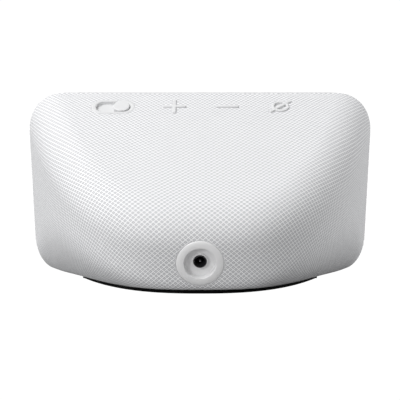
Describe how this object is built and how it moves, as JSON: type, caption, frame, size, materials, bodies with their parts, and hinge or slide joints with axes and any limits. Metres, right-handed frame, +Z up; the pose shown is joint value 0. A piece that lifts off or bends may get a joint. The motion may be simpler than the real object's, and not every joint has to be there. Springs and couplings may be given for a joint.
{
  "type": "smart display speaker",
  "caption": "Compact tabletop smart display speaker with a tilted screen, a fabric-covered D-shaped back, raised keys, a camera shutter slider and a round power inlet.",
  "frame": {"origin": "bottom centre of the bounding box, on the surface that the rubber foot stands on", "axes": "+Z up, -Y out of the screen, +Y out of the fabric back, +X to the right of someone facing the screen"},
  "size_m": [0.148, 0.0916, 0.0818],
  "materials": {
    "cloth": "woven polyester, white and pale grey yarns",
    "light_plastic": "satin light grey",
    "housing_plastic": "satin",
    "black_plastic": "fine moulded texture",
    "black_rubber": "matt",
    "screen_glass": "polished black-bordered cover glass",
    "lcd": "dark panel, switched off",
    "lens": "coated lens",
    "steel": "plated",
    "aluminium": "bead blasted",
    "circuit_board": "solder mask",
    "foam": "closed-cell foam",
    "cone_paper": "pressed paper",
    "spider_cloth": "impregnated cloth",
    "copper": "enamelled copper wire",
    "flex_film": "polyimide film"
  },
  "bodies": {
    "enclosure": {"front_frame": "light_plastic", "cover_glass": "screen_glass", "rear_housing": "housing_plastic", "fabric_cover": "cloth", "base_plate": "black_plastic", "rubber_foot": "black_rubber", "port_ring": "light_plastic", "shutter_trim": "light_plastic", "display_gasket": "foam", "lcd_panel": "lcd", "display_tray": "steel", "light_sensor": "black_plastic", "camera_module": "black_plastic", "camera_lens": "lens", "main_board": "circuit_board", "heat_spreader": "aluminium", "processor_shield": "steel", "radio_shield": "steel", "button_board": "circuit_board", "microphone_left": "steel", "microphone_centre": "steel", "microphone_right": "steel", "volume_up_switch": "black_plastic", "volume_down_switch": "black_plastic", "mute_switch": "black_plastic", "power_jack": "black_plastic", "jack_pin": "steel", "power_cable": "black_plastic", "display_flex": "flex_film", "antenna_left": "flex_film", "antenna_right": "flex_film", "speaker_basket": "black_plastic", "speaker_magnet": "steel", "spider": "spider_cloth", "surround": "black_rubber", "speaker_gasket": "foam", "speaker_box": "housing_plastic", "board_screw_1": "steel", "board_screw_2": "steel", "board_screw_3": "steel", "board_screw_4": "steel", "base_screw_1": "steel", "base_screw_2": "steel", "base_screw_3": "steel", "base_screw_4": "steel"},
    "shutter": {"shutter_knob": "light_plastic", "shutter_link": "black_plastic", "shutter_blade": "black_plastic"},
    "volume_up": {"volume_up_key": "light_plastic", "volume_up_plunger": "steel"},
    "volume_down": {"volume_down_key": "light_plastic", "volume_down_plunger": "steel"},
    "mute": {"mute_key": "light_plastic", "mute_plunger": "steel"},
    "diaphragm": {"speaker_cone": "cone_paper", "dust_cap": "cone_paper", "voice_coil": "copper"}
  },
  "joints": [
    {"name": "shutter_slide", "type": "slide", "parent": "enclosure", "child": "shutter", "axis": [1, 0, 0], "range_m": [0, 0.007]},
    {"name": "volume_up_press", "type": "slide", "parent": "enclosure", "child": "volume_up", "axis": [0, -0.6293, -0.7771], "range_m": [0, 0.0005], "stiffness_N_per_m": 2000, "springref_m": -0.0002},
    {"name": "volume_down_press", "type": "slide", "parent": "enclosure", "child": "volume_down", "axis": [0, -0.6293, -0.7771], "range_m": [0, 0.0005], "stiffness_N_per_m": 2000, "springref_m": -0.0002},
    {"name": "mute_press", "type": "slide", "parent": "enclosure", "child": "mute", "axis": [0, -0.6293, -0.7771], "range_m": [0, 0.0005], "stiffness_N_per_m": 2000, "springref_m": -0.0002},
    {"name": "diaphragm_travel", "type": "slide", "parent": "enclosure", "child": "diaphragm", "axis": [0, 0.6293, 0.7771], "range_m": [-0.0008, 0.0008], "stiffness_N_per_m": 2000}
  ]
}
